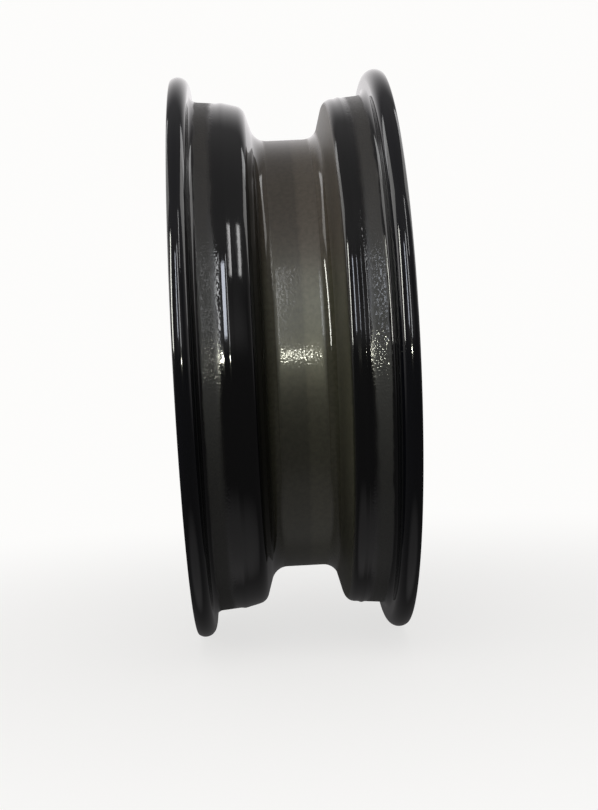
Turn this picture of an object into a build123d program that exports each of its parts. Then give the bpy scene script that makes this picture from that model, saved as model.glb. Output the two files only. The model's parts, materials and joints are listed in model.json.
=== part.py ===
from build123d import *
from math import atan2, cos, hypot, pi, radians, sin, tan
import os

# Trailer wheel, 15 x 5 J: a rolled rim, a pressed disc, and the weld runs that join them.
# It stands upright on its own centre, spins about Y, and its outboard side faces -Y.
# A section point is given by how far outboard of the middle plane it is, and its radius.

# Rim, standard 15 x 5 J sizes in millimetres
seat_diameter = 380.2
rim_width = 127.0
flange_height = 18.1
flange_curl = 7.8
lip_turn = 33.0
lip_tail = 1.8
lip_round = 1.6
seat_angle = 5.0
heel_round = 5.8
rim_sheet = 2.6

# Safety humps and ledges, inboard side first
seat_widths = (22.5, 19.2)
hump_height = 0.7
hump_halves = (3.5, 2.6)
hump_feet = (6.0, 3.0)
hump_crests = (6.0, 1.2)
ledge_falls = (3.2, 0.3)
shoulder_rounds = (9.0, 7.0)

# Drop centre, which lies towards the outboard side
well_radius = 159.8
well_feet = (17.6, 27.0)
well_tops = (25.2, 34.4)
well_round = 12.0

# Valve hole, square through the outboard wall of the drop centre
valve_hole = 11.5

# Disc, whose hub face is the wheel's middle plane
plate = 4.2
hub_bore = 81.0
hub_bore_break = 0.4
pad_radius = 82.0
pad_round = 8.0
crown_out = 31.0
crown_radius = 104.0
crown_round = 14.0
skirt_bend_out = 25.0
skirt_bend_round = 10.0
skirt_edge_in = 4.0

# Nut seats, five pressed craters with a 60 degree cone
lug_count = 5
bolt_circle = 114.3
lug_hole = 14.6
lug_cone = 60.0
lug_land = 2.0
crater_height = 3.0
crater_foot = 30.0
crater_top = 23.6
crater_round = 1.0
relief_depth = 1.2
relief_mouth = 25.0
relief_floor = 21.0

# Hand holes in the slope between the crown and the skirt
window_count = 8
window_inner = 113.0
window_outer = 138.0
window_narrow = 27.0
window_wide = 38.0
window_corner = 8.0
window_break = 0.7

# Weld runs on the skirt's inboard edge
weld_count = 8
weld_leg_rim = 4.2
weld_leg_disc = 3.8
weld_crown = 0.5
weld_arc = 21.0

half_width = rim_width / 2
seat_radius = seat_diameter / 2
flange_radius = seat_radius + flange_height
bore_radius = well_radius - rim_sheet
turn = radians(lip_turn)


def at(outboard, radius):
    """Point of a section in the YZ plane."""
    return (-outboard, radius)


def half_section(side, seat_width, hump_half, foot, crest, ledge_fall, well_top, shoulder):
    """Corners and rounds from a flange's lip to the top of the well wall.

    side is -1 inboard and 1 outboard.
    """
    curl_out = half_width + flange_curl
    curl_up = flange_radius - flange_curl
    reach = flange_curl * tan((turn + pi / 2) / 2)
    hump_out = half_width - seat_width

    def lip(along):
        """Point on the lip's straight end, measured from where the curl stops."""
        out = curl_out + flange_curl * sin(turn) + along * cos(turn)
        return (out, curl_up + flange_curl * cos(turn) - along * sin(turn))

    def seat(out):
        """Point on the sloping bead seat."""
        return (out, seat_radius - (half_width - out) * tan(radians(seat_angle)))

    hump_base = seat(hump_out)[1]
    ledge_start = seat(hump_out - hump_half)
    corners = [
        lip(lip_tail),
        lip(-reach),
        seat(half_width),
        seat(hump_out + hump_half),
        (hump_out, hump_base + hump_height),
        ledge_start,
        (well_top, ledge_start[1] - ledge_fall),
    ]
    rounds = [flange_curl, heel_round, foot, crest, foot, shoulder]
    return [(side * out, radius) for out, radius in corners], rounds


halves = [
    half_section(*sizes)
    for sizes in zip(
        (-1, 1),
        seat_widths,
        hump_halves,
        hump_feet,
        hump_crests,
        ledge_falls,
        well_tops,
        shoulder_rounds,
    )
]
(inboard, inboard_rounds), (outboard, outboard_rounds) = halves
well_floor = [(-well_feet[0], well_radius), (well_feet[1], well_radius)]
tyre_side = inboard + well_floor + outboard[::-1]
tyre_side_rounds = inboard_rounds + [well_round] * 2 + outboard_rounds[::-1]


def valve_plane():
    """Plane in the middle of the well wall's straight part, square to it, on the +X side.

    It points into the tyre's air space, the way a valve is pulled out.
    """
    (foot_out, foot_up), (top_out, top_up) = well_floor[1], outboard[-1]
    slope = atan2(top_up - foot_up, top_out - foot_out)
    wall = hypot(top_up - foot_up, top_out - foot_out)
    low = well_round * tan(slope / 2)
    high = wall - shoulder_rounds[1] * tan(slope / 2)
    along = (low + high) / 2
    out = foot_out + along * cos(slope) + rim_sheet / 2 * sin(slope)
    radius = foot_up + along * sin(slope) - rim_sheet / 2 * cos(slope)
    return Plane(origin=(radius, -out, 0), z_dir=(cos(slope), sin(slope), 0))


def section_plane(angle):
    """Plane through the axis, with Y first and the radius second, angle degrees up from +X."""
    return Plane(
        origin=(0, 0, 0),
        x_dir=(0, 1, 0),
        z_dir=(sin(radians(angle)), 0, -cos(radians(angle))),
    )


hub_face = Plane(origin=(0, 0, 0), x_dir=(1, 0, 0), z_dir=(0, -1, 0))
os.makedirs("parts", exist_ok=True)

# Rim: one strip, rolled to section, with the valve hole punched in it
with BuildPart() as rim:
    with BuildSketch(section_plane(90)) as rim_section:
        with BuildLine():
            FilletPolyline([at(*corner) for corner in tyre_side], radius=tyre_side_rounds)
            offset(amount=rim_sheet, side=Side.LEFT, mode=Mode.ADD)
        make_face()
        ends = rim_section.vertices().sort_by(Axis.X)
        fillet([ends[0], ends[-1]], lip_round)
    revolve(axis=Axis.Y)
    with Locations(valve_plane()):
        Cylinder(valve_hole / 2, 4 * rim_sheet, mode=Mode.SUBTRACT)
rim.part.label = "rim"
export_step(rim.part, "parts/rim.step")

# Disc: one plate, pressed to a crown and a skirt, with every hole punched in it
pressed_face = [
    (plate, hub_bore / 2),
    (plate, pad_radius),
    (crown_out, crown_radius),
    (skirt_bend_out, bore_radius),
    (-skirt_edge_in, bore_radius),
]
lug_seat_depth = plate + crater_height - relief_depth - lug_land
lug_mouth = lug_hole / 2 + lug_seat_depth * tan(radians(lug_cone / 2))
window_middle = (window_inner + window_outer) / 2
window_reach = (window_outer - window_inner) / 2
window_corners = [
    (-window_reach, -window_narrow / 2),
    (window_reach, -window_wide / 2),
    (window_reach, window_wide / 2),
    (-window_reach, window_narrow / 2),
]

with BuildPart() as disc:
    with BuildSketch(section_plane(90)):
        with BuildLine():
            FilletPolyline(
                [at(*corner) for corner in pressed_face],
                radius=[pad_round, crown_round, skirt_bend_round],
            )
            offset(amount=plate, side=Side.RIGHT, mode=Mode.ADD)
        make_face()
    revolve(axis=Axis.Y)

    # Five craters stand on the pad, each with a cone seat outside and a relief behind
    with Locations(hub_face.offset(plate)):
        with PolarLocations(bolt_circle / 2, lug_count, start_angle=90):
            Cone(
                crater_foot / 2,
                crater_top / 2,
                crater_height,
                align=(Align.CENTER, Align.CENTER, Align.MIN),
            )
    crater_feet = disc.edges().filter_by(GeomType.CIRCLE).filter_by(
        lambda edge: abs(edge.radius - crater_foot / 2) < 0.01
    )
    fillet(crater_feet, crater_round)
    with Locations(hub_face.offset(plate + crater_height)):
        with PolarLocations(bolt_circle / 2, lug_count, start_angle=90):
            CounterSinkHole(
                lug_hole / 2,
                lug_mouth,
                depth=plate + crater_height,
                counter_sink_angle=lug_cone,
            )
    with Locations(hub_face):
        with PolarLocations(bolt_circle / 2, lug_count, start_angle=90):
            Cone(
                relief_mouth / 2,
                relief_floor / 2,
                relief_depth,
                align=(Align.CENTER, Align.CENTER, Align.MIN),
                mode=Mode.SUBTRACT,
            )

    # Hand holes are punched through the slope, and their edges are coined round
    with BuildSketch(hub_face) as windows:
        with PolarLocations(window_middle, window_count):
            Polygon(*window_corners, align=None)
        fillet(windows.vertices(), window_corner)
    extrude(amount=2 * crown_out, mode=Mode.SUBTRACT)
    window_rims = disc.edges(Select.LAST).filter_by(
        lambda edge: edge.geom_type != GeomType.LINE or abs(edge.tangent_at(0.5).Y) < 0.9
    )
    fillet(window_rims, window_break)

    bore_rims = disc.edges().filter_by(GeomType.CIRCLE).filter_by(
        lambda edge: abs(edge.radius - hub_bore / 2) < 0.01
    )
    chamfer(bore_rims, hub_bore_break)
disc.part.label = "disc"
export_step(disc.part, "parts/disc.step")

# Weld runs: fillets between the skirt's edge and the inside of the drop centre
skirt_corner = at(-skirt_edge_in, bore_radius)
leg_on_rim = at(-skirt_edge_in - weld_leg_rim, bore_radius)
leg_on_disc = at(-skirt_edge_in, bore_radius - weld_leg_disc)
weld_crest = (
    (leg_on_rim[0] + leg_on_disc[0]) / 2 + weld_crown,
    (leg_on_rim[1] + leg_on_disc[1]) / 2 - weld_crown,
)
for number in range(weld_count):
    middle = (number + 0.5) * 360 / weld_count
    with BuildPart() as weld:
        with BuildSketch(section_plane(middle + weld_arc / 2)):
            with BuildLine():
                Polyline(leg_on_disc, skirt_corner, leg_on_rim)
                ThreePointArc(leg_on_rim, weld_crest, leg_on_disc)
            make_face()
        revolve(axis=Axis.Y, revolution_arc=weld_arc)
    weld.part.label = f"weld_{number + 1}"
    export_step(weld.part, f"parts/weld_{number + 1}.step")
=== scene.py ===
"""Looks of a bare steel trailer wheel: rolled rim, pressed disc, weld runs, gloss black paint."""

import json
from math import atan2, cos, hypot, pi, radians, sin, tan

import bpy
from mathutils import Matrix, Vector


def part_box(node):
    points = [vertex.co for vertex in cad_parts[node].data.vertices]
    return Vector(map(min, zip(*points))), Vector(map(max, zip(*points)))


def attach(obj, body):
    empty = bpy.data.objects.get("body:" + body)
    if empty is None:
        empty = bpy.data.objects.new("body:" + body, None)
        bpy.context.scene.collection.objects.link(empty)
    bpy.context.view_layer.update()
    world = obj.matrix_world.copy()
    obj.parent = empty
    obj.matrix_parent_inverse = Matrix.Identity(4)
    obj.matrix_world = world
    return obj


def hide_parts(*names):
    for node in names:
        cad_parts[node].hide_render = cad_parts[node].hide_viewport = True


bl_info = {
    "name": "Trailer Wheel Looks",
    "version": (1, 0, 0),
    "blender": (4, 5, 0),
    "location": "View3D > Sidebar > Wheel",
    "description": "Dresses a bare steel trailer wheel in its paint, on a pale studio floor",
    "category": "Object",
}

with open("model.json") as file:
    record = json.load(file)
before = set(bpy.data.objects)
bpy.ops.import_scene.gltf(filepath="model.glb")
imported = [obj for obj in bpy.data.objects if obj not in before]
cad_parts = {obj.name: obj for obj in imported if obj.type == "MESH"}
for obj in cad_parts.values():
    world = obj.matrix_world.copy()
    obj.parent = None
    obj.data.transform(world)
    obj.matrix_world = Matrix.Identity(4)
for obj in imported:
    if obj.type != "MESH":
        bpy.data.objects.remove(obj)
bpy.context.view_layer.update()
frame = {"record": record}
MOUNTS = {mount["name"]: mount for mount in frame["record"]["mounts"]}
MM = 0.001
BODY = "root"
RIM_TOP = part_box("rim")[1].z
WHEEL_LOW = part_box("rim")[0].z
BOLTS = MOUNTS["hub_bolts"]["dims"]
HUB_BORE = MOUNTS["centre_bore"]["dims"]["r_mm"] * MM
VALVE = MOUNTS["valve_hole"]

# The most that an arc of an outline turns from one point to the next
RIM_STEP = radians(9)
DISC_STEP = radians(7)
HAND_HOLE_STEP = radians(15)


def length(label, description, millimetres):
    """A size that a user may change, kept in metres and given here in millimetres."""
    return bpy.props.FloatProperty(
        name=label,
        description=description,
        default=millimetres * MM,
        unit="LENGTH",
        subtype="DISTANCE",
        precision=5,
    )


def angle(label, description, degrees_given):
    """An angle that a user may change, given here in degrees."""
    return bpy.props.FloatProperty(
        name=label,
        description=description,
        default=radians(degrees_given),
        subtype="ANGLE",
    )


def colour(label, description, rgb):
    """A linear colour that a user may change."""
    return bpy.props.FloatVectorProperty(
        name=label,
        description=description,
        default=rgb,
        subtype="COLOR",
        min=0.0,
        max=1.0,
    )


class RimSizes(bpy.types.PropertyGroup):
    """Sizes of the rolled rim's section."""

    width: length("Width", "Distance between the two flanges", 127.0)
    flange_height: length("Flange height", "Top of the flange above the bead seat", 18.1)
    curl: length("Curl", "Outer radius of the flange's curl", 7.8)
    lip_turn: angle("Lip turn", "How far the lip turns down past the flange's top", 33.0)
    lip_tail: length("Lip tail", "Straight end of the lip", 1.8)
    lip_round: length("Lip round", "Rounded outer edge of the lip", 1.6)
    lip_burr: length("Lip burr", "Rounded inner edge of the lip", 0.5)
    seat_angle: angle("Seat angle", "Slope of the bead seats", 5.0)
    heel: length("Heel", "Round between a flange and its bead seat", 5.8)
    sheet: length("Sheet", "Thickness of the rolled steel", 2.6)
    inboard_seat: length("Inboard seat", "Inboard flange to the crest of its hump", 22.5)
    outboard_seat: length("Outboard seat", "Outboard flange to the crest of its hump", 19.2)
    hump: length("Hump", "Height of the safety humps", 0.7)
    inboard_hump: length("Inboard hump", "Half the width of the inboard hump", 3.5)
    outboard_hump: length("Outboard hump", "Half the width of the outboard hump", 2.6)
    inboard_hump_foot: length("Inboard hump foot", "Round at the foot of the hump", 6.0)
    outboard_hump_foot: length("Outboard hump foot", "Round at the foot of the hump", 3.0)
    inboard_crest: length("Inboard crest", "Round over the inboard hump's crest", 6.0)
    outboard_crest: length("Outboard crest", "Round over the outboard hump's crest", 1.2)
    inboard_fall: length("Inboard fall", "How far the inboard ledge falls", 3.2)
    outboard_fall: length("Outboard fall", "How far the outboard ledge falls", 0.3)
    inboard_shoulder: length("Inboard shoulder", "Round at the top of the inboard well wall", 9.0)
    outboard_shoulder: length(
        "Outboard shoulder", "Round at the top of the outboard well wall", 7.0
    )
    inboard_crown: length("Inboard crown", "Rise in the middle of the inboard ledge", 0.14)
    crown_round: length("Crown round", "Round over the crowned ledge", 55.0)
    well: length("Well", "Radius of the drop centre's floor", 159.8)
    inboard_foot: length("Inboard foot", "Foot of the inboard well wall, from the middle", 17.6)
    outboard_foot: length(
        "Outboard foot", "Foot of the outboard well wall, from the middle", 27.0
    )
    inboard_top: length("Inboard top", "Top of the inboard well wall, from the middle", 25.2)
    outboard_top: length("Outboard top", "Top of the outboard well wall, from the middle", 34.4)
    well_round: length("Well round", "Round at the foot of both well walls", 12.0)
    valve_break: length("Valve edge", "Rounded edge of the valve hole", 0.35)
    steps: bpy.props.IntProperty(
        name="Steps", description="Faces round the wheel", default=288, min=48, max=360
    )


class DiscSizes(bpy.types.PropertyGroup):
    """Sizes of the pressed disc."""

    plate: length("Plate", "Thickness of the disc", 4.2)
    bore_break: length("Bore break", "Broken edge of the centre hole", 0.4)
    pad: length("Pad", "Radius where the flat pad ends", 82.0)
    pad_round: length("Pad round", "Round from the pad into the cone", 8.0)
    crown_out: length("Crown reach", "Crown outboard of the hub face", 31.0)
    crown: length("Crown", "Radius of the crown", 104.0)
    crown_round: length("Crown round", "Round over the crown", 14.0)
    bend_out: length("Bend reach", "Corner of the skirt, outboard of the hub face", 25.0)
    bend_round: length("Bend round", "Round from the slope into the skirt", 10.0)
    skirt_in: length("Skirt edge", "Skirt's edge, inboard of the hub face", 4.0)
    crater_height: length("Crater height", "Nut seat above the pad", 3.0)
    crater_foot: length("Crater foot", "Radius of a nut seat's foot", 15.0)
    crater_top: length("Crater top", "Radius of a nut seat's top", 11.8)
    crater_round: length("Crater round", "Round at a nut seat's foot", 1.0)
    crater_edge: length("Crater edge", "Round at a nut seat's top", 0.6)
    cone: angle("Nut cone", "Whole angle of a nut seat's cone", 60.0)
    land: length("Land", "Straight wall of a stud hole", 2.0)
    relief: length("Relief", "Depth of the relief behind a nut seat", 1.2)
    relief_mouth: length("Relief mouth", "Radius of the relief at the hub face", 12.5)
    relief_floor: length("Relief floor", "Radius of the relief's floor", 10.5)
    window_inner: length("Hand hole inner", "Inner edge of the hand holes", 113.0)
    window_outer: length("Hand hole outer", "Outer edge of the hand holes", 138.0)
    window_narrow: length("Hand hole narrow", "Width of a hand hole's inner edge", 27.0)
    window_wide: length("Hand hole wide", "Width of a hand hole's outer edge", 38.0)
    window_corner: length("Hand hole corner", "Corner round of a hand hole", 8.0)
    window_break: length("Hand hole edge", "Coined edge of a hand hole", 0.7)
    windows: bpy.props.IntProperty(
        name="Hand holes", description="Number of hand holes", default=8, min=3, max=12
    )
    steps: bpy.props.IntProperty(
        name="Steps", description="Faces round the disc", default=192, min=48, max=288
    )


class WeldSizes(bpy.types.PropertyGroup):
    """Sizes of the weld runs."""

    runs: bpy.props.IntProperty(
        name="Runs", description="Number of weld runs", default=8, min=1, max=12
    )
    arc: angle("Arc", "How far round the wheel each run goes", 21.0)
    leg_rim: length("Leg on rim", "Width of the run along the rim", 4.2)
    leg_disc: length("Leg on disc", "Height of the run on the skirt's edge", 3.8)
    pitch: length("Pitch", "Distance from one ripple to the next", 2.1)


class PaintColours(bpy.types.PropertyGroup):
    """Colours of the paint and of the dry film on it, and the blue of a reflection painted onto
    the flanges.
    """

    black: colour("Black", "Gloss black paint", (0.0045, 0.0047, 0.0052))
    # Painted reflection: a blue cast of the surroundings, painted into the black of the flanges
    painted_flange_reflection: colour("Navy", "Blue cast of the paint on the flanges", (0.0036, 0.0041, 0.0064))
    film: colour("Film", "Dry olive film in the drop centre", (0.112, 0.110, 0.073))
    brown: colour("Brown film", "Browner patches of the film", (0.118, 0.100, 0.078))


class StageSizes(bpy.types.PropertyGroup):
    """Camera and floor."""

    distance: length("Camera distance", "Camera from the wheel's middle", 1064.3)
    aside: length("Camera aside", "Camera inboard of the wheel's middle plane", 28.1)
    above: length("Camera above", "Camera above the wheel's axis", 6.1)
    yaw: angle("Yaw", "Camera's turn towards the outboard side", 1.861)
    pitch: angle("Pitch", "Camera's tilt down", 2.422)
    roll: angle("Roll", "Camera's lean", 2.813)
    lens: bpy.props.FloatProperty(
        name="Lens", description="Focal length in millimetres", default=62.216, min=20, max=200
    )
    floor: length("Floor", "Radius of the pale floor", 6000.0)


GROUPS = {
    "wheel_rim": RimSizes,
    "wheel_disc": DiscSizes,
    "wheel_weld": WeldSizes,
    "wheel_paint": PaintColours,
    "wheel_stage": StageSizes,
}


def at(outboard, radius):
    """Point of a section, drawn above the axis. Outboard is -Y."""
    return Vector((0.0, -outboard, radius))


def rounded(corners, rounds, step):
    """The corners of an outline joined by straight runs, with an arc at each inner corner."""
    points = [corners[0].copy()]
    for before, corner, after, radius in zip(corners, corners[1:], corners[2:], rounds):
        back = (before - corner).normalized()
        ahead = (after - corner).normalized()
        turn = pi - back.angle(ahead)
        reach = radius * tan(turn / 2)
        start = corner + back * reach
        middle = corner + (back + ahead).normalized() * (radius / cos(turn / 2))
        first = start - middle
        last = corner + ahead * reach - middle
        count = max(2, int(turn / step) + 1)
        for number in range(count + 1):
            share = number / count
            arm = first * sin((1 - share) * turn) + last * sin(share * turn)
            points.append(middle + arm / sin(turn))
    points.append(corners[-1].copy())
    return points


def deselect_objects():
    """Leaves nothing selected, so that the next operator acts on the new piece alone."""
    bpy.ops.object.select_all(action="DESELECT")


def choose(piece):
    """Leaves one piece selected and active, so that the next operator acts on it alone."""
    deselect_objects()
    piece.select_set(True)
    bpy.context.view_layer.objects.active = piece


def open_edit():
    """Goes to edit mode on the active piece."""
    bpy.ops.object.mode_set(mode="EDIT")


def close_edit():
    """Goes back to object mode."""
    bpy.ops.object.mode_set(mode="OBJECT")


def pick(piece, mode, test):
    """Opens a piece with the vertices that pass a test selected, or the edges whose ends do."""
    choose(piece)
    open_edit()
    bpy.ops.mesh.select_mode(type="VERT")
    bpy.ops.mesh.select_all(action="DESELECT")
    close_edit()
    mesh = piece.data
    passed = [test(vertex.co) for vertex in mesh.vertices]
    if mode == "VERT":
        for vertex, chosen in zip(mesh.vertices, passed):
            vertex.select = chosen
    else:
        for edge in mesh.edges:
            edge.select = all(passed[index] for index in edge.vertices)
    open_edit()
    bpy.ops.mesh.select_mode(type=mode)


def merge_close(piece, test, gap):
    """Merges the vertices that pass a test and lie within a small gap of each other."""
    pick(piece, "VERT", test)
    bpy.ops.mesh.remove_doubles(threshold=gap)
    close_edit()


def draw_outline(name, points):
    """A chain of edges through the points, drawn by extruding one vertex along them."""
    deselect_objects()
    bpy.ops.mesh.primitive_plane_add(size=MM, location=points[0])
    piece = bpy.context.object
    piece.name = name
    open_edit()
    bpy.ops.mesh.select_mode(type="VERT")
    bpy.ops.mesh.select_all(action="SELECT")
    bpy.ops.mesh.merge(type="CENTER")
    for before, after in zip(points, points[1:]):
        bpy.ops.mesh.extrude_region_move(TRANSFORM_OT_translate={"value": after - before})
    close_edit()
    return piece


def settle(piece):
    """Puts the piece's place into its mesh."""
    choose(piece)
    bpy.ops.object.transform_apply(location=True, rotation=True, scale=True)


def turned_copy(piece, turn):
    """A copy of a piece with a mesh of its own, turned about the wheel's axis."""
    made = piece.copy()
    made.data = piece.data.copy()
    bpy.context.collection.objects.link(made)
    made.rotation_euler = (0, turn, 0)
    settle(made)
    return made


def lathe(piece, steps):
    """Spins an outline once round the wheel's axis, closes the seam and faces it outwards."""
    seam = 0.01 * MM
    settle(piece)
    open_edit()
    bpy.ops.mesh.select_all(action="SELECT")
    bpy.ops.mesh.spin(steps=steps, angle=2 * pi, center=(0, 0, 0), axis=(0, 1, 0))
    bpy.ops.mesh.select_all(action="SELECT")
    bpy.ops.mesh.remove_doubles(threshold=seam)
    bpy.ops.mesh.normals_make_consistent(inside=False)
    close_edit()


def apply_modifier(piece, kind, **values):
    """Adds a modifier with the given values and applies it."""
    choose(piece)
    modifier = piece.modifiers.new(kind.lower(), kind)
    for key, value in values.items():
        setattr(modifier, key, value)
    bpy.ops.object.modifier_apply(modifier=modifier.name)


def thicken(piece, sheet):
    """Gives a spun face the thickness of its sheet, away from the side that it faces."""
    apply_modifier(
        piece,
        "SOLIDIFY",
        thickness=sheet,
        offset=-1.0,
        use_even_offset=True,
        use_quality_normals=True,
    )


def cut(piece, tool, operation="DIFFERENCE"):
    """Takes the tool's shape out of the piece, or adds it, and removes the tool."""
    apply_modifier(piece, "BOOLEAN", operation=operation, object=tool, solver="EXACT")
    bpy.data.objects.remove(tool)


def bevel_picked(width, segments):
    """Rounds the edges that are selected in the open piece, and closes it."""
    bpy.ops.mesh.bevel(offset=width, offset_type="OFFSET", segments=segments, affect="EDGES")
    close_edit()


def bevel_edges(piece, test, width, segments):
    """Rounds the edges whose ends both pass the test."""
    pick(piece, "EDGE", test)
    bevel_picked(width, segments)


def smooth(piece, sharp):
    """Smooth shading, with edges sharper than the angle in degrees kept."""
    choose(piece)
    bpy.ops.object.shade_smooth_by_angle(angle=radians(sharp))


def finish_piece(piece, material, node):
    """Gives a piece its paint, hangs it on the body and hides the node that it stands for."""
    piece.data.materials.clear()
    piece.data.materials.append(material)
    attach(piece, BODY)
    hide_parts(node)


def rim_half(size, side):
    """Corners and rounds of the tyre side, from the lip to the top of the well wall."""
    place = "outboard" if side > 0 else "inboard"
    seat_width, hump, foot, hump_crest, fall, top, shoulder = (
        getattr(size, f"{place}_{part}")
        for part in ("seat", "hump", "hump_foot", "crest", "fall", "top", "shoulder")
    )
    half = size.width / 2
    seat_radius = RIM_TOP - size.flange_height
    slope = tan(size.seat_angle)
    curl_out = half + size.curl
    curl_up = RIM_TOP - size.curl
    reach = size.curl * tan((size.lip_turn + pi / 2) / 2)
    crest = half - seat_width

    def lip(along):
        out = curl_out + size.curl * sin(size.lip_turn) + along * cos(size.lip_turn)
        return (out, curl_up + size.curl * cos(size.lip_turn) - along * sin(size.lip_turn))

    def seat(out):
        return (out, seat_radius - (half - out) * slope)

    ledge = seat(crest - hump)
    corners = [
        lip(size.lip_tail),
        lip(-reach),
        seat(half),
        seat(crest + hump),
        (crest, seat(crest)[1] + size.hump),
        ledge,
        (top, ledge[1] - fall),
    ]
    rounds = [size.curl, size.heel, foot, hump_crest, foot, shoulder]
    if side < 0:
        # The crown is a third of the way along the ledge
        near, far = 0.67, 0.33
        middle = (ledge[0] * near + top * far, ledge[1] - fall * far + size.inboard_crown)
        corners.insert(-1, middle)
        rounds.insert(-1, size.crown_round)
    return [at(side * out, radius) for out, radius in corners], rounds


def rim_outline(size):
    """The tyre side of the rim, from the inboard lip to the outboard lip."""
    inboard, inboard_rounds = rim_half(size, -1)
    outboard, outboard_rounds = rim_half(size, 1)
    floor = [at(-size.inboard_foot, size.well), at(size.outboard_foot, size.well)]
    corners = inboard + floor + outboard[::-1]
    rounds = inboard_rounds + [size.well_round] * 2 + outboard_rounds[::-1]
    return rounded(corners, rounds, RIM_STEP)


def on_circles(out, radius, slack):
    """A test for points on both circles that are so far out and of that radius."""

    def test(point):
        return (
            abs(abs(point.y) - out) < slack and abs(hypot(point.x, point.z) - radius) < slack
        )

    return test


class WHEEL_OT_rim(bpy.types.Operator):
    """Makes the rolled rim: spun from its section, with its thickness and the valve hole"""

    bl_idname = "wheel.rim"
    bl_label = "Rolled Rim"

    def execute(self, context):
        size = context.scene.wheel_rim
        rim = draw_outline("rolled_rim", rim_outline(size))
        lathe(rim, size.steps)
        thicken(rim, size.sheet)
        tip = rim_half(size, 1)[0][0]
        out, up = abs(tip.y), tip.z
        bevel_edges(rim, on_circles(out, up, 0.1 * MM), size.lip_round, 5)
        out -= size.sheet * sin(size.lip_turn)
        up -= size.sheet * cos(size.lip_turn)
        bevel_edges(rim, on_circles(out, up, 0.12 * MM), size.lip_burr, 2)
        self.punch_valve_hole(rim, size)
        smooth(rim, 40)
        finish_piece(rim, rim_paint(context.scene.wheel_paint), "rim")
        return {"FINISHED"}

    def punch_valve_hole(self, rim, size):
        """Takes out the valve hole, square to the outboard wall of the drop centre."""
        place = Vector(VALVE["pos_m"])
        way = Vector(VALVE["axis"])
        radius = VALVE["dims"]["r_mm"] * MM
        deselect_objects()
        bpy.ops.mesh.primitive_cylinder_add(
            vertices=48,
            radius=radius,
            depth=5 * size.sheet,
            location=place,
            rotation=way.to_track_quat("Z", "Y").to_euler(),
        )
        tool = bpy.context.object
        settle(tool)
        cut(rim, tool)

        def in_hole(low, high):
            """A test for points of the hole's wall between two distances from its middle."""

            def test(point):
                arm = point - place
                along = arm.dot(way)
                off = (arm - way * along).length
                return abs(off - radius) < 0.02 * MM and low < abs(along) < high

            return test

        edge, slack = size.sheet / 2, 0.4 * MM
        merge_close(rim, in_hole(-slack, 2 * size.sheet), 0.05 * MM)
        bevel_edges(rim, in_hole(edge - slack, edge + slack), size.valve_break, 2)


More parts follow.
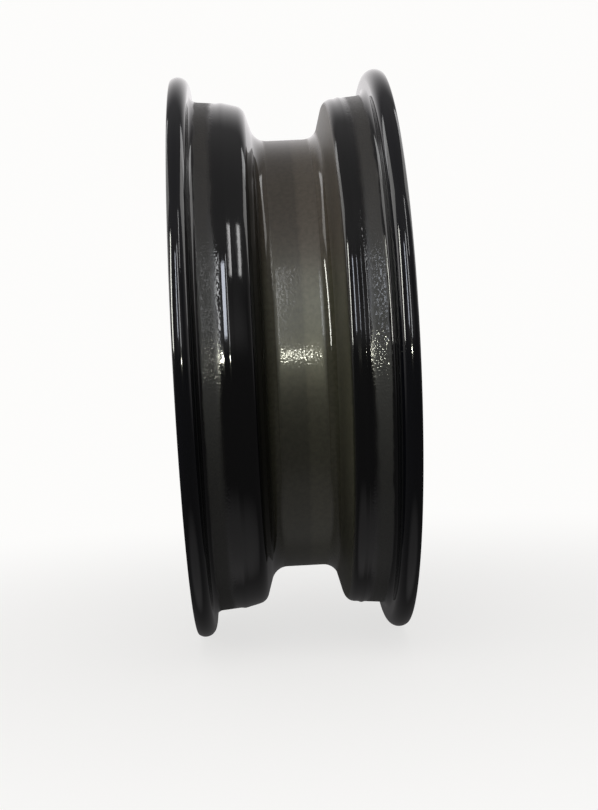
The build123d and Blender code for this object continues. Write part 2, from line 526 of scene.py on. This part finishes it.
class WHEEL_OT_disc(bpy.types.Operator):
    """Makes the pressed disc: spun, thickened, with nut seats and hand holes"""

    bl_idname = "wheel.disc"
    bl_label = "Pressed Disc"

    def execute(self, context):
        size = context.scene.wheel_disc
        rim = context.scene.wheel_rim
        skirt = rim.well - rim.sheet
        corners = [
            at(size.plate, HUB_BORE),
            at(size.plate, size.pad),
            at(size.crown_out, size.crown),
            at(size.bend_out, skirt),
            at(-size.skirt_in, skirt),
        ]
        rounds = [size.pad_round, size.crown_round, size.bend_round]
        disc = draw_outline("pressed_disc", rounded(corners, rounds, DISC_STEP))
        lathe(disc, size.steps)
        self.face_outboard(disc)
        thicken(disc, size.plate)

        def on_bore(point):
            return abs(hypot(point.x, point.z) - HUB_BORE) < 0.05 * MM

        bevel_edges(disc, on_bore, size.bore_break, 2)
        self.press_nut_seats(disc, size)
        self.punch_hand_holes(disc, size)
        merge_close(disc, lambda point: True, 0.002 * MM)
        smooth(disc, 35)
        apply_modifier(disc, "WEIGHTED_NORMAL", keep_sharp=True, weight=80)
        finish_piece(disc, disc_paint(context.scene.wheel_paint), "disc")
        return {"FINISHED"}

    def face_outboard(self, disc):
        """Turns the spun face so that its normals point outboard and outwards."""
        low = min(disc.data.polygons, key=lambda face: hypot(face.center.x, face.center.z))
        if low.normal.y > 0:
            choose(disc)
            open_edit()
            bpy.ops.mesh.select_all(action="SELECT")
            bpy.ops.mesh.flip_normals()
            close_edit()

    def stud_places(self):
        """Middles of the stud holes, the first at the top."""
        circle = BOLTS["pcd_mm"] * MM / 2
        turns = [pi / 2 + 2 * pi * number / BOLTS["count"] for number in range(BOLTS["count"])]
        return [Vector((circle * cos(turn), 0, circle * sin(turn))) for turn in turns]

    def cone(self, place, low_out, low_radius, high_out, high_radius):
        """A cone about a line along Y, from one distance outboard to another."""
        deselect_objects()
        bpy.ops.mesh.primitive_cone_add(
            vertices=64,
            radius1=low_radius,
            radius2=high_radius,
            depth=high_out - low_out,
            location=place + Vector((0, -(low_out + high_out) / 2, 0)),
            rotation=(pi / 2, 0, 0),
        )
        tool = bpy.context.object
        settle(tool)
        return tool

    def press_nut_seats(self, disc, size):
        """Raises five craters, each with its cone seat, its hole and the relief behind."""
        hole = BOLTS["hole_r_mm"] * MM
        top = size.plate + size.crater_height
        seat_low = size.relief + size.land
        # How far the hollows' tools reach past the plate, and how deep a crater stands in it
        over = 1.0 * MM
        bury = 1.7 * MM
        flare = (size.crater_foot - size.crater_top) / size.crater_height
        lean = (size.relief_mouth - size.relief_floor) / size.relief
        foot = size.crater_foot + flare * bury
        mouth = hole + (top + over - seat_low) * tan(size.cone / 2)
        places = self.stud_places()
        for place in places:
            crater = self.cone(place, size.plate - bury, foot, top, size.crater_top)
            cut(disc, crater, "UNION")
            for hollow in (
                (-over, hole, top + over, hole),
                (seat_low, hole, top + over, mouth),
                (-over, size.relief_mouth + lean * over, size.relief, size.relief_floor),
            ):
                cut(disc, self.cone(place, *hollow))

        def round_a_stud(radius, out):
            """A test for points at a radius about any stud, so far outboard."""

            def test(point):
                return abs(point.y + out) < 0.02 * MM and any(
                    abs(hypot(point.x - place.x, point.z - place.z) - radius) < 0.03 * MM
                    for place in places
                )

            return test

        bevel_edges(disc, round_a_stud(size.crater_foot, size.plate), size.crater_round, 3)
        bevel_edges(disc, round_a_stud(size.crater_top, top), size.crater_edge, 3)

    def punch_hand_holes(self, disc, size):
        """Punches the hand holes through the slope and rounds their edges."""
        reach = (size.window_outer - size.window_inner) / 2
        middle = (size.window_outer + size.window_inner) / 2
        narrow = size.window_narrow / 2
        wide = size.window_wide / 2
        corners = [(-reach, -narrow), (reach, -wide), (reach, wide), (-reach, narrow)]
        loop = [Vector((middle + along, 0, across)) for along, across in corners]
        start = (loop[0] + loop[-1]) / 2
        outline = rounded([start] + loop + [start], [size.window_corner] * 4, HAND_HOLE_STEP)
        blank = draw_outline("hand_hole", outline[:-1])
        settle(blank)
        open_edit()
        bpy.ops.mesh.select_all(action="SELECT")
        bpy.ops.mesh.edge_face_add()
        bpy.ops.mesh.extrude_region_move(
            TRANSFORM_OT_translate={"value": (0, -2 * size.crown_out, 0)}
        )
        bpy.ops.mesh.select_all(action="SELECT")
        bpy.ops.mesh.normals_make_consistent(inside=False)
        close_edit()
        for number in range(size.windows):
            cut(disc, turned_copy(blank, 2 * pi * number / size.windows))
        bpy.data.objects.remove(blank)
        flat = [Vector((point.x, point.z)) for point in outline]
        share = 2 * pi / size.windows

        def on_edge(point):
            radius = hypot(point.x, point.z)
            if not size.window_inner - MM < radius < size.window_outer + 3 * MM:
                return False
            turn = atan2(-point.z, point.x) / share
            turn = (turn - round(turn)) * share
            here = Vector((radius * cos(turn), -radius * sin(turn)))
            return any(
                distance_to_run(here, before, after) < 0.05 * MM
                for before, after in zip(flat, flat[1:])
            )

        merge_close(disc, on_edge, 0.25 * MM)
        pick(disc, "EDGE", on_edge)
        close_edit()
        # An edge this long along the axis runs through the plate and stays sharp
        through = 0.6 * size.plate
        points = [vertex.co for vertex in disc.data.vertices]
        for edge in disc.data.edges:
            one, two = (points[index] for index in edge.vertices)
            if abs(one.y - two.y) > through:
                edge.select = False
        open_edit()
        bevel_picked(size.window_break, 3)


def distance_to_run(point, before, after):
    """Distance from a point to a straight run."""
    run = after - before
    if run.length < 1e-9:
        return (point - before).length
    share = max(0.0, min(1.0, (point - before).dot(run) / run.length_squared))
    return (point - before - run * share).length


class WHEEL_OT_welds(bpy.types.Operator):
    """Lays the weld runs between the disc's skirt and the rim, with their ripples"""

    bl_idname = "wheel.welds"
    bl_label = "Weld Runs"

    def execute(self, context):
        size = context.scene.wheel_weld
        disc = context.scene.wheel_disc
        rim = context.scene.wheel_rim
        first = self.lay_run(size, at(-disc.skirt_in, rim.well - rim.sheet))
        material = weld_paint(context.scene.wheel_paint)
        for number in range(size.runs):
            run = turned_copy(first, pi / 2 - (number + 0.5) * 2 * pi / size.runs)
            run.name = f"weld_run_{number + 1}"
            smooth(run, 60)
            finish_piece(run, material, f"weld_{number + 1}")
        bpy.data.objects.remove(first)
        return {"FINISHED"}

    def lay_run(self, size, corner):
        """One run at the top of the wheel: overlapping ripples, fused and smoothed."""
        # Each ripple is a ball, whose middle and half sizes are shares of the run's own sizes
        sunk, inboard = 0.42, 0.36
        half_pitch, half_leg = 0.95, 0.60
        thin, growth, uneven = 0.80, 0.20, 0.03
        ends = 4 * MM
        radius = corner.z - size.leg_disc * sunk
        count = int(size.arc * radius / size.pitch)
        beads = []
        for number in range(count):
            turn = (number / (count - 1) - 0.5) * (size.arc - ends / radius)
            from_end = min(number, count - 1 - number)
            swell = thin + growth * min(1.0, from_end / 3) + uneven * sin(number * 2.4)
            deselect_objects()
            bpy.ops.mesh.primitive_uv_sphere_add(
                segments=20,
                ring_count=12,
                radius=1.0,
                location=(0, corner.y + size.leg_rim * inboard, radius),
            )
            bead = bpy.context.object
            bead.scale = (
                size.pitch * half_pitch,
                size.leg_rim * half_leg * swell,
                size.leg_disc * half_leg * swell,
            )
            bead.rotation_euler = (radians(45), 0, 0)
            settle(bead)
            bead.rotation_euler = (0, turn, 0)
            settle(bead)
            beads.append(bead)
        deselect_objects()
        for bead in beads:
            bead.select_set(True)
        bpy.context.view_layer.objects.active = beads[0]
        bpy.ops.object.join()
        run = bpy.context.object
        run.name = "weld_run"
        apply_modifier(run, "REMESH", mode="VOXEL", voxel_size=0.35 * MM)
        apply_modifier(run, "SMOOTH", factor=0.5, iterations=2)
        return run


def node(tree, kind, **values):
    """Adds a shader node. Values named in_N are set on its inputs by number."""
    made = tree.nodes.new("ShaderNode" + kind)
    for key, value in values.items():
        if key.startswith("in_"):
            made.inputs[int(key[3:])].default_value = value
        else:
            setattr(made, key, value)
    return made


def feed(tree, socket, value):
    """Links a socket to an input, or sets the input to a number."""
    if isinstance(value, (int, float)):
        socket.default_value = value
    else:
        tree.links.new(value, socket)


def calc(tree, operation, *values):
    """Adds a Math node fed by sockets or numbers, and gives its output."""
    made = node(tree, "Math", operation=operation)
    for socket, value in zip(made.inputs, values):
        feed(tree, socket, value)
    return made.outputs[0]


def times(tree, first, *others):
    """The product of sockets and numbers."""
    for other in others:
        first = calc(tree, "MULTIPLY", first, other)
    return first


def weigh(tree, total, areas, amounts):
    """A total raised in each area by the amount that is named for it."""
    for name, amount in amounts.items():
        total = calc(tree, "MULTIPLY_ADD", areas[name], amount, total)
    return total


def ramp(tree, value, low, high, out_low=0.0, out_high=1.0):
    """A smooth step of a value between two limits."""
    made = node(tree, "MapRange", interpolation_type="SMOOTHSTEP")
    tree.links.new(value, made.inputs["Value"])
    limits = {"From Min": low, "From Max": high, "To Min": out_low, "To Max": out_high}
    for name, number in limits.items():
        made.inputs[name].default_value = number
    return made.outputs["Result"]


def blend_colour(tree, share, first, second):
    """Mixes two colours, each a socket or an rgb value, by the share of the second."""
    made = node(tree, "Mix", data_type="RGBA")
    tree.links.new(share, made.inputs["Factor"])
    for socket, value in ((made.inputs[6], first), (made.inputs[7], second)):
        if isinstance(value, bpy.types.NodeSocket):
            tree.links.new(value, socket)
        else:
            socket.default_value = (*value, 1.0)
    return made.outputs[2]


def noise(tree, place, scale, detail=2.0, rough=0.5):
    """Noise on the object's own coordinates, in features per metre."""
    made = node(tree, "TexNoise")
    tree.links.new(place, made.inputs["Vector"])
    made.inputs["Scale"].default_value = scale
    made.inputs["Detail"].default_value = detail
    made.inputs["Roughness"].default_value = rough
    return made.outputs["Fac"]


def new_paint(name):
    """A material with a Principled shader and the object's coordinates."""
    material = bpy.data.materials.new(name)
    material.use_nodes = True
    tree = material.node_tree
    shader = tree.nodes["Principled BSDF"]
    place = node(tree, "TexCoord").outputs["Object"]
    return material, tree, shader, place


def split(tree, place):
    """Distance from the wheel's axis, distance outboard of its middle plane, and height."""
    parts = node(tree, "SeparateXYZ")
    tree.links.new(place, parts.inputs[0])
    across, along, up = parts.outputs
    squares = calc(tree, "ADD", times(tree, across, across), times(tree, up, up))
    return calc(tree, "SQRT", squares), times(tree, along, -1.0), up


def facing_out(tree, place):
    """One where the surface faces away from the wheel's middle, nought where it faces it."""
    faces = node(tree, "VectorMath", operation="DOT_PRODUCT")
    tree.links.new(node(tree, "TexCoord").outputs["Normal"], faces.inputs[0])
    tree.links.new(place, faces.inputs[1])
    return ramp(tree, faces.outputs["Value"], 0.0, 0.01)


def add_bump(tree, shader, heights, target="Normal"):
    """Chains bumps, each a height socket with its strength and its depth in metres."""
    previous = None
    for height, strength, depth in heights:
        bump = node(tree, "Bump")
        feed(tree, bump.inputs["Strength"], strength)
        bump.inputs["Distance"].default_value = depth
        tree.links.new(height, bump.inputs["Height"])
        if previous:
            tree.links.new(previous, bump.inputs["Normal"])
        previous = bump.outputs["Normal"]
    tree.links.new(previous, shader.inputs[target])


def band(tree, value, low, high, soft):
    """One between two limits of a value, nought outside them, with soft ends."""
    rise = ramp(tree, value, low - soft, low + soft)
    fall = ramp(tree, value, high - soft, high + soft, 1.0, 0.0)
    return times(tree, rise, fall)


# Where the tones of the rim's paint begin and end, in metres from the axis.
# The wall has the softness of both its ends too.
FLOOR = (0.1690, 0.1600)
FLAT = (0.1606, 0.15985)
SIDE = (0.1873, 0.1837)
# Where the painted blue reflection on the flanges fades in
FLANGE = (0.1915, 0.1950)
WALL = (0.1640, 0.1855, 0.0018)

# The same from the middle plane, on the outboard side or on both
OUTBOARD = (0.0, 0.01)
SEAT_START = (0.0480, 0.0540)
SEAT_END = (0.0622, 0.0600)
BARE_START = (0.0452, 0.0468)
BARE_END = (0.0600, 0.0575)
SEAT_WANDER = 0.0030

# How much of each quality the areas of the rim have
DRY_FLOOR = 0.60
DRY_SIDE = 0.90
DRY_SEAT = 0.15
ROUGH = {"flat": 0.34, "wall": 0.34, "seat": 0.60}
ROUGH_ELSEWHERE = 0.08
PEBBLED = {"seat": 1.0, "flat": 0.30}
PEBBLED_BARE = 0.50
PEBBLE_DEPTH = 0.22 * MM
COAT_FLAT = 0.30
COAT_SEATS = (0.20, 0.36)


def rim_paint(colours):
    """Gloss black over the whole rim, with a painted blue reflection on the flanges, under a dry
    film in the drop centre and on the seats.
    """
    material, tree, shader, place = new_paint("gloss_black_rim")
    radius, outboard, up = split(tree, place)
    reach = calc(tree, "ABSOLUTE", outboard)
    patches = noise(tree, place, 14, 3)
    grain = noise(tree, place, 330, 3, 0.6)
    pebble = noise(tree, place, 640, 0)
    wander = calc(tree, "MULTIPLY_ADD", noise(tree, place, 60, 3), SEAT_WANDER, reach)

    tyre_side = facing_out(tree, place)
    outer = times(tree, tyre_side, ramp(tree, outboard, *OUTBOARD))
    starts = ramp(tree, wander, *SEAT_START)
    ends = ramp(tree, wander, *SEAT_END)
    areas = {
        "seat": times(tree, starts, ends, tyre_side),
        "floor": times(tree, tyre_side, ramp(tree, radius, *FLOOR)),
        "flat": times(tree, tyre_side, ramp(tree, radius, *FLAT)),
        "wall": times(tree, outer, band(tree, radius, *WALL)),
        "side": times(tree, outer, ramp(tree, radius, *SIDE)),
    }

    floor = times(tree, areas["floor"], DRY_FLOOR)
    side = times(tree, areas["side"], DRY_SIDE)
    film = weigh(tree, calc(tree, "MAXIMUM", floor, side), areas, {"seat": DRY_SEAT})
    film = times(tree, film, ramp(tree, grain, 0.25, 0.75, 0.85, 1.15))
    warm = calc(tree, "MULTIPLY_ADD", patches, 0.8, ramp(tree, up, 0.02, 0.11))
    dry = blend_colour(tree, ramp(tree, warm, 0.30, 1.30), colours.film, colours.brown)
    # Gloss black, turning to the painted blue reflection on the flanges
    black = blend_colour(tree, ramp(tree, radius, *FLANGE), colours.black, colours.painted_flange_reflection)
    tree.links.new(blend_colour(tree, film, black, dry), shader.inputs["Base Color"])
    tree.links.new(times(tree, areas["flat"], 0.3), shader.inputs["Metallic"])
    rough = weigh(tree, ROUGH_ELSEWHERE, areas, ROUGH)
    tree.links.new(rough, shader.inputs["Roughness"])

    seat_coat = ramp(tree, outboard, -0.01, 0.01, *COAT_SEATS)
    coat = weigh(tree, 0.0, areas, {"flat": COAT_FLAT, "seat": seat_coat})
    tree.links.new(coat, shader.inputs["Coat Weight"])
    shader.inputs["Coat Roughness"].default_value = 0.12
    pebbled = weigh(tree, 0.0, areas, PEBBLED)
    add_bump(tree, shader, [(pebble, pebbled, PEBBLE_DEPTH)], "Coat Normal")

    bare = times(
        tree,
        tyre_side,
        ramp(tree, reach, *BARE_START, 0.0, PEBBLED_BARE),
        ramp(tree, reach, *BARE_END),
    )
    waves = noise(tree, place, 420, 2)
    add_bump(tree, shader, [(waves, 0.05, 0.25 * MM), (pebble, bare, PEBBLE_DEPTH)])
    return material


def disc_paint(colours):
    """Gloss black over the pressed plate, with a light orange peel."""
    material, tree, shader, place = new_paint("gloss_black_disc")
    grain = noise(tree, place, 300, 4, 0.6)
    dust = times(tree, ramp(tree, noise(tree, place, 22, 3), 0.45, 0.7), 0.06)
    black = blend_colour(tree, dust, colours.black, colours.film)
    tree.links.new(black, shader.inputs["Base Color"])
    tree.links.new(ramp(tree, grain, 0.3, 0.7, 0.09, 0.16), shader.inputs["Roughness"])
    waves = noise(tree, place, 380, 2)
    peel = noise(tree, place, 900, 3, 0.6)
    add_bump(tree, shader, [(waves, 0.20, 0.3 * MM), (peel, 0.20, 0.12 * MM)])
    return material


def weld_paint(colours):
    """Black paint over the welds, a little duller than on the plate."""
    material, tree, shader, place = new_paint("black_over_weld")
    grain = noise(tree, place, 500, 4, 0.6)
    dust = times(tree, ramp(tree, grain, 0.5, 0.75), 0.10)
    black = blend_colour(tree, dust, colours.black, colours.film)
    tree.links.new(black, shader.inputs["Base Color"])
    tree.links.new(ramp(tree, grain, 0.3, 0.7, 0.16, 0.30), shader.inputs["Roughness"])
    add_bump(tree, shader, [(noise(tree, place, 1400, 3, 0.6), 0.4, 0.15 * MM)])
    return material


class WHEEL_OT_camera(bpy.types.Operator):
    """Sets the camera where the photograph was taken from"""

    bl_idname = "wheel.camera"
    bl_label = "Camera"

    def execute(self, context):
        size = context.scene.wheel_stage
        deselect_objects()
        bpy.ops.object.camera_add()
        camera = bpy.context.object
        camera.name = "camera"
        right = Vector((0, -1, 0))
        up = Vector((0, 0, 1))
        ahead = Vector((1, 0, 0))
        level = cos(size.pitch)
        look = ahead * (cos(size.yaw) * level) + right * (sin(size.yaw) * level)
        look -= up * sin(size.pitch)
        side = right * cos(size.yaw) - ahead * sin(size.yaw)
        top = side.cross(look)
        lean_side = side * cos(size.roll) - top * sin(size.roll)
        lean_top = side * sin(size.roll) + top * cos(size.roll)
        turn = Matrix((lean_side, lean_top, -look)).transposed()
        place = Matrix.Translation((-size.distance, size.aside, size.above))
        camera.matrix_world = place @ turn.to_4x4()
        camera.data.lens = size.lens
        camera.data.sensor_width = 36.0
        camera.data.clip_end = 50.0
        context.scene.camera = camera
        return {"FINISHED"}


# Tone of the floor and of the room behind it, as the camera sees them
PALE = (0.98, 0.975, 0.965, 1.0)

# What the lights aim at, so far in front of the wheel's middle
RIM_FRONT = 0.19

# The lights: turn, lowest and highest height and lean in degrees, distance and width in metres,
# brightness, tint, and the one kind of shading that each lights. The turn goes from the wheel's
# front towards its inboard side.
LIGHTS = (
    ("left_strip", 60, 3, 42, 0, 1.3, 0.12, 26, (1.0, 1.0, 0.92), "glossy"),
    ("right_strip", -9.5, 5, 46, 0, 2.0, 0.16, 10, (0.96, 0.98, 1.0), "glossy"),
    ("hump_strip", 13, 9, 42, 0, 2.0, 0.15, 15, (0.84, 0.89, 1.0), "glossy"),
    ("far_strip", -38, 34, 57, -20, 2.0, 0.10, 9, (1.0, 1.0, 1.0), "glossy"),
    ("outboard_kicker", -128, 12, 50, 0, 2.2, 0.5, 2.5, (1.0, 1.0, 1.0), "glossy"),
    ("inboard_kicker", 128, 12, 50, 0, 2.2, 0.5, 2.5, (1.0, 1.0, 1.0), "glossy"),
    ("outboard_face", -98, 8, 52, 0, 2.4, 1.3, 2.2, (1.0, 0.99, 0.97), "glossy"),
    ("inboard_face", 98, 8, 52, 0, 2.4, 1.3, 2.2, (1.0, 0.99, 0.97), "glossy"),
    ("soft_front", 0, 42, 78, 0, 2.0, 1.2, 2.5, (1.0, 0.99, 0.93), "diffuse"),
    ("soft_left", 75, -15, 30, 0, 2.0, 0.8, 2.8, (1.0, 1.0, 0.93), "diffuse"),
)

# The light beside the camera: its place, width, height, brightness and tint
FLASH_PLACE = Vector((-1.06, -0.057, -0.003))
FLASH = (0.042, 0.018, 480, (1.0, 1.0, 0.84))


class WHEEL_OT_stage(bpy.types.Operator):
    """Lays the pale floor and hangs the lights"""

    bl_idname = "wheel.stage"
    bl_label = "Floor And Lights"

    def execute(self, context):
        self.lay_floor(context.scene.wheel_stage)
        self.light_room(context.scene)
        for name, turn, low, high, lean, away, wide, bright, tint, shading in LIGHTS:
            lamp = self.hang(name, turn, low, high, away, wide, bright, tint)
            lamp.rotation_euler.rotate_axis("Z", radians(lean))
            lamp.visible_diffuse = shading == "diffuse"
            lamp.visible_glossy = shading == "glossy"
        flash = self.area_light("flash", FLASH_PLACE, Vector((-1, 0, 0)), *FLASH)
        flash.visible_diffuse = False
        context.scene.view_settings.view_transform = "Standard"
        return {"FINISHED"}

    def lay_floor(self, size):
        """A plain pale disc under the wheel, a little darker right below it."""
        deselect_objects()
        bpy.ops.mesh.primitive_circle_add(
            vertices=96, radius=size.floor, fill_type="NGON", location=(0, 0, WHEEL_LOW)
        )
        floor = bpy.context.object
        floor.name = "floor"
        settle(floor)
        material, tree, shader, place = new_paint("pale_floor")
        shader.inputs["Base Color"].default_value = (0.86, 0.86, 0.86, 1.0)
        shader.inputs["Roughness"].default_value = 0.9
        shader.inputs["Specular IOR Level"].default_value = 0.1
        radius = node(tree, "VectorMath", operation="LENGTH")
        tree.links.new(place, radius.inputs[0])
        glow = node(tree, "Emission", in_0=PALE, in_1=1.0)
        mix = node(tree, "MixShader")
        share = ramp(tree, radius.outputs["Value"], 0.12, 0.75, 0.72, 1.0)
        tree.links.new(share, mix.inputs[0])
        tree.links.new(shader.outputs[0], mix.inputs[1])
        tree.links.new(glow.outputs[0], mix.inputs[2])
        tree.links.new(mix.outputs[0], tree.nodes["Material Output"].inputs[0])
        floor.data.materials.append(material)
        floor.visible_glossy = False
        floor.visible_diffuse = False

    def light_room(self, scene):
        """A room that is pale to the camera. To the paint it is dim, but for the named parts."""
        world = bpy.data.worlds.new("pale_room")
        scene.world = world
        world.use_nodes = True
        tree = world.node_tree
        parts = node(tree, "SeparateXYZ")
        tree.links.new(node(tree, "TexCoord").outputs["Generated"], parts.inputs[0])
        behind, aside, up = parts.outputs
        aside = calc(tree, "ABSOLUTE", aside)
        room = 0.085
        for name, share, *limits in (
            ("back", 0.95, ramp(tree, behind, 0.50, 0.95), ramp(tree, up, -0.06, 0.10)),
            ("ceiling", 0.16, ramp(tree, up, 0.55, 0.95)),
            ("ground", 0.20, ramp(tree, up, -0.82, -0.97)),
            ("sides", 0.30, ramp(tree, aside, 0.7, 1.0), band(tree, up, 0.20, 0.75, 0.20)),
            ("front", 0.28, ramp(tree, behind, -0.70, -0.95), band(tree, up, 0.10, 0.50, 0.12)),
            ("high", 0.10, ramp(tree, behind, 0.2, -0.3), band(tree, up, 0.45, 0.85, 0.10)),
            ("above", 0.05, ramp(tree, up, -0.10, 0.10)),
            ("faces", 0.60, ramp(tree, aside, 0.88, 1.0), ramp(tree, up, -0.40, 0.10)),
        ):
            room = calc(tree, "MULTIPLY_ADD", times(tree, *limits), share, room)
            room.node.label = name
        seen = node(tree, "Background", in_0=PALE, in_1=1.0)
        felt = node(tree, "Background", in_0=(1.0, 0.975, 0.985, 1.0))
        tree.links.new(room, felt.inputs[1])
        mix = node(tree, "MixShader")
        tree.links.new(node(tree, "LightPath").outputs["Is Camera Ray"], mix.inputs[0])
        tree.links.new(felt.outputs[0], mix.inputs[1])
        tree.links.new(seen.outputs[0], mix.inputs[2])
        out = next(found for found in tree.nodes if found.type == "OUTPUT_WORLD")
        tree.links.new(mix.outputs[0], out.inputs[0])

    def hang(self, name, turn, low, high, away, wide, bright, tint):
        """A long upright light that faces the rim's front, from one height to another."""
        level = radians((low + high) / 2)
        tall = 2 * away * tan(radians((high - low) / 2))
        way = Vector((-cos(radians(turn)), sin(radians(turn)), 0)) * cos(level)
        way += Vector((0, 0, sin(level)))
        place = way * away - Vector((RIM_FRONT, 0, 0))
        return self.area_light(name, place, way, wide, tall, bright, tint)

    def area_light(self, name, place, way, wide, tall, bright, tint):
        """A rectangle of light that the camera doesn't see, with its back to the way given."""
        deselect_objects()
        bpy.ops.object.light_add(type="AREA", location=place)
        lamp = bpy.context.object
        lamp.name = name
        lamp.rotation_euler = way.to_track_quat("Z", "Y").to_euler()
        lamp.data.shape = "RECTANGLE"
        lamp.data.size = wide
        lamp.data.size_y = tall
        lamp.data.energy = bright * pi * wide * tall
        lamp.data.color = tint
        lamp.visible_camera = False
        return lamp


class WHEEL_PT_panel(bpy.types.Panel):
    """Lists the wheel's sizes, colours and pieces"""

    bl_idname = "WHEEL_PT_panel"
    bl_label = "Trailer Wheel"
    bl_space_type = "VIEW_3D"
    bl_region_type = "UI"
    bl_category = "Wheel"

    def draw(self, context):
        layout = self.layout
        for operator in OPERATORS:
            layout.operator(operator.bl_idname)
        for name in GROUPS:
            group = getattr(context.scene, name)
            box = layout.box()
            box.label(text=name.replace("_", " ").title())
            for key in group.__annotations__:
                box.prop(group, key)


OPERATORS = (WHEEL_OT_camera, WHEEL_OT_rim, WHEEL_OT_disc, WHEEL_OT_welds, WHEEL_OT_stage)


def register():
    """Adds the classes and the scene's settings."""
    for group in GROUPS.values():
        bpy.utils.register_class(group)
    for name, group in GROUPS.items():
        setattr(bpy.types.Scene, name, bpy.props.PointerProperty(type=group))
    for made in (*OPERATORS, WHEEL_PT_panel):
        bpy.utils.register_class(made)


def unregister():
    """Takes them away again."""
    for made in (WHEEL_PT_panel, *reversed(OPERATORS)):
        bpy.utils.unregister_class(made)
    for name in GROUPS:
        delattr(bpy.types.Scene, name)
    for group in reversed(GROUPS.values()):
        bpy.utils.unregister_class(group)


def main():
    """Makes every piece in order."""
    register()
    bpy.ops.wheel.camera()
    bpy.ops.wheel.rim()
    bpy.ops.wheel.disc()
    bpy.ops.wheel.welds()
    bpy.ops.wheel.stage()


if __name__ == "__main__":
    main()
